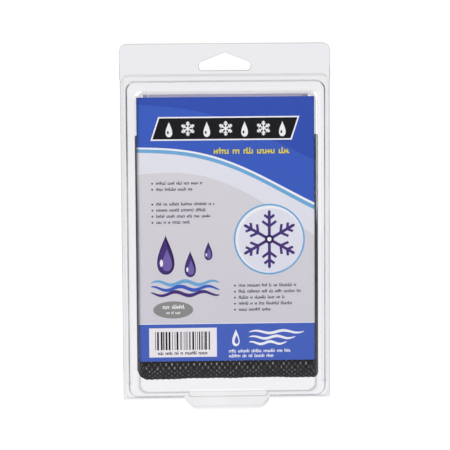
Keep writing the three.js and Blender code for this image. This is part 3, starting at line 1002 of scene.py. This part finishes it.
def ribbon(x, z, length, height, sway, waves, phase=0.0):
    """A wavy ribbon that narrows to its ends."""
    along = [i / CURVE_STEPS for i in range(CURVE_STEPS + 1)]
    middle = [z + sway * math.sin(2 * math.pi * waves * t + phase) for t in along]
    half = [height / 2 * math.sin(math.pi * t) ** 0.4 if 0 < t < 1 else 0.05 for t in along]
    top = [(x + length * t, m + h) for t, m, h in zip(along, middle, half)]
    below = [(x + length * t, m - h) for t, m, h in zip(along, middle, half)]
    return below + top[::-1]


def arm(x, z, turn, size, half):
    """One arm of a snow crystal, with two pairs of side branches that point outwards."""
    run = [(0, half)]
    for root, reach in ((0.42, 0.26), (0.68, 0.18)):
        start, out, up = root * size, reach * size * 0.6, reach * size * 0.8
        run += [(start, half), (start + out, half + up)]
        run += [(start + out + half * 1.5, half + up - half * 0.9), (start + half * 2.2, half)]
    run += [(size - half, half), (size, 0)]
    run += [(a, -b) for a, b in run[-2::-1]]
    points = [complex(a, b) * cmath.exp(1j * turn) for a, b in run]
    return [(x + p.real, z + p.imag) for p in points]


def snowflake(ink, x, z, size, half):
    """The six arms of a snow crystal round its middle."""
    return [(ink, arm(x, z, math.pi / 3 * beat + math.pi / 6, size, half)) for beat in range(6)]


def filler(ink, draw, x, z, length, height):
    """A line of make-believe words: upright strokes, some of them taller, with gaps between words."""
    shapes = []
    stroke, pitch = height * 0.3, height * 0.62
    run, left = 0, draw.randint(3, 8)
    while run + stroke < length:
        if left:
            rise = height * (1.42 if draw.random() < 0.22 else 1)
            shapes.append((ink, bar(x + run, z, stroke, rise)))
            link = draw.choice((0, 0.36, 0.72)) * height
            if left > 1:
                shapes.append((ink, bar(x + run, z + link, pitch, stroke * 0.9)))
        else:
            left = draw.randint(2, 9) + 1
        left -= 1
        run += pitch
    return shapes


def card_design():
    """The printed shapes in painter's order, in millimetres from the card's lower left corner."""
    width, height = CARD_WIDTH, CARD_HEIGHT
    draw = random.Random(5)
    shapes = [("field", bar(0, 0, width, height))]

    def paint(ink, points):
        """Puts one shape over the others."""
        shapes.append((ink, points))

    # Fills above curves that sink towards the right
    along = [i / CURVE_STEPS for i in range(CURVE_STEPS + 1)]
    for ink, left_drop, right_drop, bulge in CARD_SWEEPS:
        left, right = height - left_drop, height - right_drop
        edge = [(width * t, left + (right - left) * t + bulge * math.sin(math.pi * t * 1.2)) for t in along]
        paint(ink, [*edge, (width, height), (0, height)])

    # Banner with white drops and snow crystals, over a heading
    low = height - BANNER_DROP
    paint("light", [(x + dx, low + z + dz) for (x, z), (dx, dz) in zip(BANNER, BANNER_BORDER)])
    paint("ink", [(x, low + z) for x, z in BANNER])
    for beat in range(7):
        x, z = 18.5 + 10.8 * beat, height - BANNER_DROP / 2
        if beat % 2:
            shapes += snowflake("light", x, z, 4.3, 0.36)
        else:
            paint("light", drop(x, z - 0.4, 4.4))
            paint("ink", ellipse(x - 0.6, z - 2.2, 0.5, 0.9))
    for ink, shift in (("deep", 0.4), ("accent", 0)):
        shapes += filler(ink, random.Random(11), 44 + shift, height - 32.6 - shift, 44, 2.5)

    # Snow crystal on a disc
    x, z = width - 26, height - 82
    paint("sky", ellipse(x, z, 20.5, 20.5))
    paint("light", ellipse(x, z, 19.5, 19.5))
    paint("glow", ellipse(x + 0.7, z - 0.7, 18.6, 18.6))
    shapes += snowflake("plum", x, z, 17, 0.85)
    paint("violet", ellipse(x, z, 2.6, 2.6))
    paint("light", ellipse(x, z, 1.2, 1.2))

    # Drops over waves
    for row, ink in enumerate(("sky", "header", "plum")):
        paint(ink, ribbon(7, 45.6 - 3.1 * row, 40, 2.2, 1.1, 2.5, row * 1.1))
    for x, z, size in ((16, 62, 11.5), (30, 56.5, 7.6), (40.5, 64, 5.4)):
        paint("violet", drop(x, z, size))
        paint("plum", drop(x - size * 0.03, z - size * 0.1, size * 0.84))
        paint("lilac", drop(x + size * 0.06, z - size * 0.26, size * 0.56))
        paint("light", ellipse(x - size * 0.22, z - size * 0.42, size * 0.08, size * 0.18))

    # Lines of make-believe text
    for left, top, lengths in (
            (8, height - 50, (30, 24)),
            (8, height - 62, (36, 31, 34, 22)),
            (55, 43, (36, 39, 30, 34, 21))):
        for row, length in enumerate(lengths):
            line = top - LINE_PITCH * row
            paint("text", ellipse(left + 0.6, line + 0.7, 0.55, 0.55))
            shapes += filler("text", draw, left + 2.8, line, length - 2.8, 1.35)

    # Badge, and the band along the bottom with its striped label
    paint("badge", ellipse(20, 30, 11.5, 5))
    shapes += filler("light", draw, 14, 30.6, 12.5, 1.7)
    shapes += filler("light", draw, 16, 27.6, 8.5, 1.2)
    paint("band", bar(0, 0, width, BAND_HEIGHT))
    paint("light", bar(0, BAND_HEIGHT, width, 0.4))
    paint("label", bar(6, 2.4, 39, 17))
    start = 9.5
    while start < 41:
        stripe = draw.choice((0.35, 0.35, 0.7, 1.05))
        paint("ink", bar(start, 6.6, stripe, 10.6))
        start += stripe + draw.choice((0.35, 0.7, 0.7, 1.05))
    shapes += filler("ink", draw, 11, 3.8, 29, 1.4)
    paint("light", drop(56, 13.4, 5))
    paint("band", drop(56.4, 12.4, 2.6))
    for row in range(3):
        paint("light", ribbon(63.5, 16.6 - 3.2 * row, 32 - 5 * row, 1.6, 0.7, 2, 0.4 * row))
    shapes += filler("light", draw, 52, 4.7, 36, 1.4)
    shapes += filler("light", draw, 52, 1.9, 27, 1.4)
    return shapes


def printed_card():
    """The card, with its printed shapes as faces of its front."""
    shapes = card_design()
    points, faces = [], []
    for _, shape in shapes:
        faces.append(list(range(len(points), len(points) + len(shape))))
        turning = sum(a * d - b * c for (a, b), (c, d) in zip(shape, shape[1:] + shape[:1]))
        shape = shape if turning > 0 else shape[::-1]
        points += [Vector((min(max(x, 0), CARD_WIDTH), min(max(z, 0), CARD_HEIGHT))) for x, z in shape]
    spots, _, loops, _, _, sources = delaunay_2d_cdt(points, [], faces, INSIDE_TRIANGLES, PRINT_MERGE)
    inks = list(PRINTS)
    work = bmesh.new()
    places = [work.verts.new((CARD_LOW.x + p.x, CARD_LOW.y, CARD_LOW.z + p.y)) for p in spots]
    for loop, covers in zip(loops, sources):
        face = work.faces.new([places[i] for i in loop])
        face.material_index = inks.index(shapes[max(covers)][0])
    border = [edge for edge in work.edges if edge.is_boundary]
    walls = bmesh.ops.extrude_edge_only(work, edges=border)["geom"]
    moved = [part for part in walls if isinstance(part, bmesh.types.BMVert)]
    bmesh.ops.translate(work, verts=moved, vec=(0, CARD_HIGH.y - CARD_LOW.y, 0))
    back = [edge for edge in work.edges if edge.is_boundary]
    filled = bmesh.ops.edgeloop_fill(work, edges=back)["faces"]
    for face in [*filled, *(part for part in walls if isinstance(part, bmesh.types.BMFace))]:
        face.material_index = inks.index("board")
    bmesh.ops.recalc_face_normals(work, faces=work.faces)
    mesh = bpy.data.meshes.new("card")
    work.to_mesh(mesh)
    work.free()
    for ink in inks:
        mesh.materials.append(PRINTS[ink])
    return in_scene("card", mesh)


# Pieces


def dress(piece, material, body, node):
    """Scales a piece, gives it its material where it has none, puts it on its body and hides the CAD node
    that it stands for.
    """
    piece.data.transform(Matrix.Scale(MM, 4))
    piece.data.update()
    if not piece.data.materials:
        piece.data.materials.append(material)
    if body:
        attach(piece, body)
    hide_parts(node)


dress(smooth(front_shell()), None, "front", "front_shell")
dress(smooth(back_shell()), None, "back", "back_shell")
for side in ("left", "right"):
    strip = hinge_strip(f"fold_{side}", f"hinge_{side}")
    dress(smooth(strip), None, None, f"hinge_{side}")
    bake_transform(strip)
dress(printed_card(), None, "back", "printed_card")

COVER = Bag("cover", margin=11, edge=1.6, wall=1.4, corners=(6.5, 3), spread=(0.9, 1.5, 0.9),
            puckers=((0.16, 2.9, 0.3), (0.12, 4.7, 1.9), (0.08, 1.9, 4.1)),
            sag=((0.45, 34, 4.4), (0.12, 6.3, 1.1), (0.07, 2.7, 0.2)))
POUCH = Bag("pouch", margin=9, edge=1.2, wall=4.1, corners=(4, 4),
            puckers=((0.12, 2.3, 0.9), (0.1, 3.9, 2.4)))
COVER_STEP = KNIT_PITCH / 9
LAYERS = {
    "face": ((0, 0.146), POUCH_CLOTH, "pouch_cloth"),
    "core": ((0.22, 0.805), WADDING, "absorbent_core"),
    "lining": ((0.878, 1), POUCH_CLOTH, "pouch_cloth"),
}


for side in ("front", "back"):
    node = f"cover_{side}_panel"
    panel = wall(COVER, f"mesh_{side}", node, (0, 1), KNIT_RELIEF, COVER_STEP, KNIT_STRIDE, overlap=FIT)
    dress(smooth(panel, CLOTH_ANGLE), KNIT, "back", node)
    hem = wall(COVER, f"mesh_hem_{side}", f"cover_{side}_hem", (0, 1), HEM_RELIEF, HEM_STEP, folded=True)
    dress(smooth(hem, CLOTH_ANGLE), KNIT_HEM, "back", f"cover_{side}_hem")
    for layer, (shares, material, slot) in LAYERS.items():
        node = f"pouch_{side}_{layer}"
        sheet = wall(POUCH, f"inner_{side}_{layer}", node, shares, overlap=FIT)
        dress(smooth(sheet, CLOTH_ANGLE), material, "pouch", node)
    node = f"pouch_{side}_hem"
    hem = wall(POUCH, f"inner_hem_{side}", node, (0, 1), folded=True)
    dress(smooth(hem, CLOTH_ANGLE), POUCH_EDGE, "pouch", node)

for prefix, name, bag, sides, below, body, slot, serration in (
        ("cover", "mesh_edge", COVER, KNIT_SIDE, KNIT_BOTTOM, "back", "mesh_edge", SERRATION),
        ("pouch", "inner_edge", POUCH, POUCH_EDGE, POUCH_EDGE, "pouch", "pouch_edge", 0.0)):
    for side, sign in (("left", -1), ("right", 1)):
        node = f"{prefix}_{side}_seam"
        dress(smooth(side_edge(bag, f"{name}_{side}", node, sign), CLOTH_ANGLE), sides, body, node)
    node = f"{prefix}_bottom_seam"
    dress(smooth(bottom_edge(bag, f"{name}_bottom", node, serration), CLOTH_ANGLE), below, body, node)

# Floor, light and camera

FLOOR_Z = -0.45
FLOOR_HALF = 8.0
FLOOR_THICKNESS = 0.01
FLOOR_PAINT = 0.2
FLOOR_GLOW = 0.86
WORLD_LEVEL = 0.74
WORLD_DARK = 0.25
LAMP_TARGET = Vector((0, 0, -0.1))

s = Shader("floor")
rays = s.node("ShaderNodeLightPath").outputs
paint = s.node("ShaderNodeBsdfDiffuse", {"Color": (FLOOR_PAINT, FLOOR_PAINT, FLOOR_PAINT, 1)})
glow = s.node("ShaderNodeEmission", {"Strength": s.math("MULTIPLY", rays["Is Camera Ray"], FLOOR_GLOW)})
both = s.node("ShaderNodeAddShader", {0: paint.outputs[0], 1: glow.outputs[0]})
floor = block("floor", (-FLOOR_HALF, 0, -FLOOR_HALF), (FLOOR_HALF, FLOOR_THICKNESS, FLOOR_HALF))
floor.data.transform(Matrix.Rotation(math.pi / 2, 4, "X"))
floor.location.z = FLOOR_Z
floor.data.materials.append(s.finish(both.outputs[0]))


def studio():
    """A world that is white to the camera, pale to cloth and card, and darker to what faces the camera."""
    world = bpy.data.worlds.new("studio")
    bpy.context.scene.world = world
    world.use_nodes = True
    world.node_tree.nodes.clear()

    def node(kind, inputs=()):
        """The outputs of a new node in the world."""
        return add_node(world.node_tree, kind, inputs).outputs

    rays = node("ShaderNodeLightPath")
    way = node("ShaderNodeSeparateXYZ", {0: node("ShaderNodeTexCoord")["Generated"]})
    seen_in_gloss = node("ShaderNodeMapRange", {
        "Value": way[1], "From Min": -0.75, "From Max": 0.1, "To Min": WORLD_DARK, "To Max": 1.0})[0]
    plain = node("ShaderNodeMix", {0: rays["Is Glossy Ray"], 2: WORLD_LEVEL, 3: seen_in_gloss})[0]
    level = node("ShaderNodeMix", {0: rays["Is Camera Ray"], 2: plain, 3: 1.0})[0]
    background = node("ShaderNodeBackground", {"Color": (1, 1, 1, 1), "Strength": level})[0]
    node("ShaderNodeOutputWorld", {"Surface": background})


def lamp(name, place, size, power):
    """A soft square lamp that faces the middle of the case."""
    light = bpy.data.lights.new(name, "AREA")
    light.size = size
    light.energy = power
    made = in_scene(name, light)
    made.location = place
    made.rotation_mode = "QUATERNION"
    made.rotation_quaternion = (LAMP_TARGET - Vector(place)).to_track_quat("-Z", "Y")


studio()
lamp("key", (-1.2, -1.4, 1.3), 1.6, 37)
lamp("fill", (1.5, -1.2, 0.36), 1.4, 14)
lamp("side", (1.3, 0.9, 0.1), 0.8, 4)

CAMERA_AZIMUTH = -2.197
CAMERA_ELEVATION = 6.544
CAMERA_ROLL = 0.387
CAMERA_DISTANCE = 1.2909
CAMERA_TARGET = Vector((-0.00049, 0, -0.10032))
CAMERA_LENS = 177.65
CAMERA_SENSOR = 36
CAMERA_REACH = (0.05, 50)

azimuth, elevation, roll = (math.radians(a) for a in (CAMERA_AZIMUTH, CAMERA_ELEVATION, CAMERA_ROLL))
level = math.cos(elevation)
away = Vector((math.sin(azimuth) * level, -math.cos(azimuth) * level, math.sin(elevation)))
right = (-away).cross(Vector((0, 0, 1))).normalized()
up = right.cross(-away)
rolled_right = right * math.cos(roll) - up * math.sin(roll)
rolled_up = up * math.cos(roll) + right * math.sin(roll)
turned = Matrix((rolled_right, rolled_up, away)).transposed().to_4x4()
camera = in_scene("camera", bpy.data.cameras.new("camera"))
camera.data.sensor_width = CAMERA_SENSOR
camera.data.lens = CAMERA_LENS
camera.data.clip_start, camera.data.clip_end = CAMERA_REACH
camera.matrix_world = Matrix.Translation(CAMERA_TARGET + away * CAMERA_DISTANCE) @ turned
bpy.context.scene.camera = camera
bpy.context.scene.view_settings.view_transform = "Standard"
